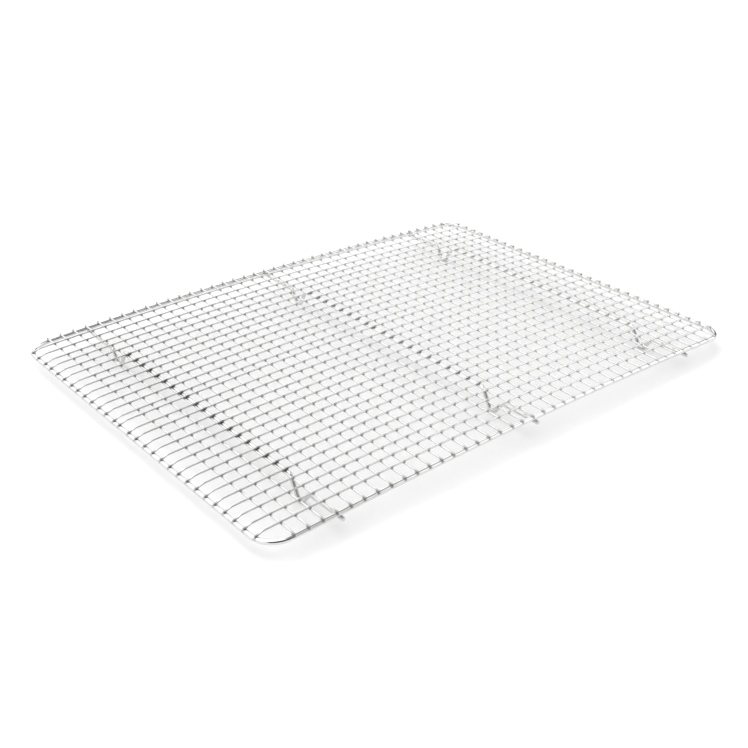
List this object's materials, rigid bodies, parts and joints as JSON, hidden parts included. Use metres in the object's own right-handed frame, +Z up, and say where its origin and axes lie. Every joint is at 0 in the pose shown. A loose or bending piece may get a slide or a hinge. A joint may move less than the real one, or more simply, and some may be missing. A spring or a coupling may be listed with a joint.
{
  "type": "cooling rack",
  "caption": "Rectangular chrome-plated wire cooling rack: a fine grid on a rounded frame rod, with V-shaped feet bent in thicker wires under the grid.",
  "frame": {"origin": "on the surface that the rack stands on, under the middle of its frame", "axes": "+X along the rack, +Y across it, +Z up"},
  "size_m": [0.419, 0.3064, 0.0206],
  "materials": {
    "frame_chrome": "bright chrome plate on a drawn steel rod",
    "grid_chrome": "bright chrome plate on thin steel wire, duller at the welds",
    "leg_chrome": "chrome plate on steel wire, with darker weld marks"
  },
  "bodies": {
    "root": {"outer_frame": "frame_chrome", "long_wire_01": "grid_chrome", "long_wire_02": "grid_chrome", "long_wire_03": "grid_chrome", "long_wire_04": "grid_chrome", "long_wire_05": "grid_chrome", "long_wire_06": "grid_chrome", "long_wire_07": "grid_chrome", "long_wire_08": "grid_chrome", "long_wire_09": "grid_chrome", "long_wire_10": "grid_chrome", "long_wire_11": "grid_chrome", "long_wire_12": "grid_chrome", "long_wire_13": "grid_chrome", "long_wire_14": "grid_chrome", "long_wire_15": "grid_chrome", "long_wire_16": "grid_chrome", "long_wire_17": "grid_chrome", "long_wire_18": "grid_chrome", "long_wire_19": "grid_chrome", "long_wire_20": "grid_chrome", "long_wire_21": "grid_chrome", "long_wire_22": "grid_chrome", "long_wire_23": "grid_chrome", "long_wire_24": "grid_chrome", "long_wire_25": "grid_chrome", "long_wire_26": "grid_chrome", "long_wire_27": "grid_chrome", "long_wire_28": "grid_chrome", "long_wire_29": "grid_chrome", "cross_wire_08": "grid_chrome", "cross_wire_09": "grid_chrome", "cross_wire_10": "grid_chrome", "cross_wire_11": "grid_chrome", "cross_wire_12": "grid_chrome", "cross_wire_13": "grid_chrome", "cross_wire_14": "grid_chrome", "cross_wire_15": "grid_chrome", "cross_wire_16": "grid_chrome", "cross_wire_17": "grid_chrome", "cross_wire_18": "grid_chrome", "cross_wire_19": "grid_chrome", "cross_wire_20": "grid_chrome", "cross_wire_21": "grid_chrome", "cross_wire_22": "grid_chrome", "cross_wire_23": "grid_chrome", "cross_wire_24": "grid_chrome", "cross_wire_25": "grid_chrome", "cross_wire_26": "grid_chrome", "cross_wire_27": "grid_chrome", "cross_wire_28": "grid_chrome", "cross_wire_29": "grid_chrome", "cross_wire_30": "grid_chrome", "cross_wire_31": "grid_chrome", "cross_wire_32": "grid_chrome", "cross_wire_33": "grid_chrome", "cross_wire_34": "grid_chrome", "leg_wire_left": "leg_chrome", "leg_wire_middle": "leg_chrome", "leg_wire_right": "leg_chrome"}
  },
  "joints": []
}
